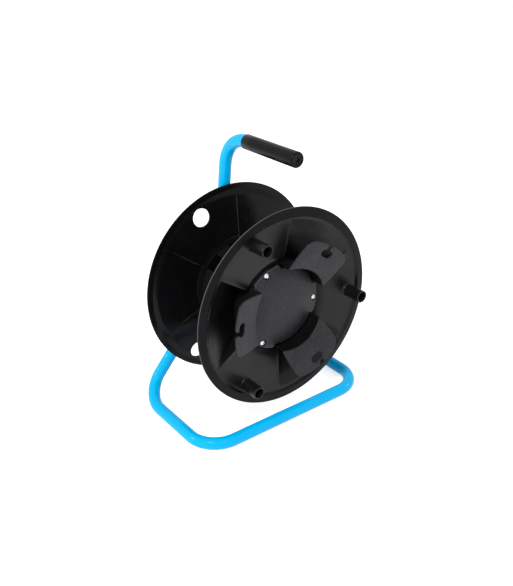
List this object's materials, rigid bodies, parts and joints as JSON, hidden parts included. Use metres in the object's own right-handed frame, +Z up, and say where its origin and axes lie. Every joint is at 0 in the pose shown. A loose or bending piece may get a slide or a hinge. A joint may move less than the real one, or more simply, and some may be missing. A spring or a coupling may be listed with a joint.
{
  "type": "hand-wound cable reel",
  "caption": "Empty hand-wound cable reel: moulded black drum with pegs and keyhole wings, turning on a bent blue tube stand with a black grip.",
  "frame": {"origin": "on the floor, under the middle of the part's footprint, which is also the middle of its bounding box's bottom face", "axes": "+Z up, -Y towards the front, where the pegs and the grip's end are, +X to the right seen from the front; the axle lies along Y"},
  "size_m": [0.3065, 0.2011, 0.4063],
  "materials": {
    "blue_paint": "smooth gloss powder coat",
    "zinc_steel": "bright zinc plate",
    "grip_vinyl": "soft satin vinyl",
    "black_plastic": "plain moulded",
    "gloss_black": "smooth moulded",
    "grained_black": "fine spark-eroded grain",
    "bush_plastic": "plain acetal"
  },
  "bodies": {
    "stand": {"base_tube": "blue_paint", "handle_tube": "blue_paint", "axle_boss": "blue_paint", "axle": "zinc_steel", "rear_washer": "zinc_steel", "front_washer": "zinc_steel", "spring_washer": "zinc_steel", "lock_nut": "zinc_steel", "grip": "grip_vinyl", "tube_plug": "black_plastic", "post_plug": "black_plastic"},
    "drum": {"front_flange": "gloss_black", "winding_core": "grained_black", "keyhole_wings": "grained_black", "rear_flange": "gloss_black", "hub_cover": "grained_black", "cover_screws": "zinc_steel", "rear_screws": "zinc_steel", "screw_washers": "zinc_steel", "front_bush": "bush_plastic", "rear_bush": "bush_plastic"}
  },
  "joints": [
    {"name": "drum_spin", "type": "hinge", "parent": "stand", "child": "drum", "pos_m": [0, -0.00891, 0.181], "axis": [0, 1, 0], "continuous": true}
  ]
}
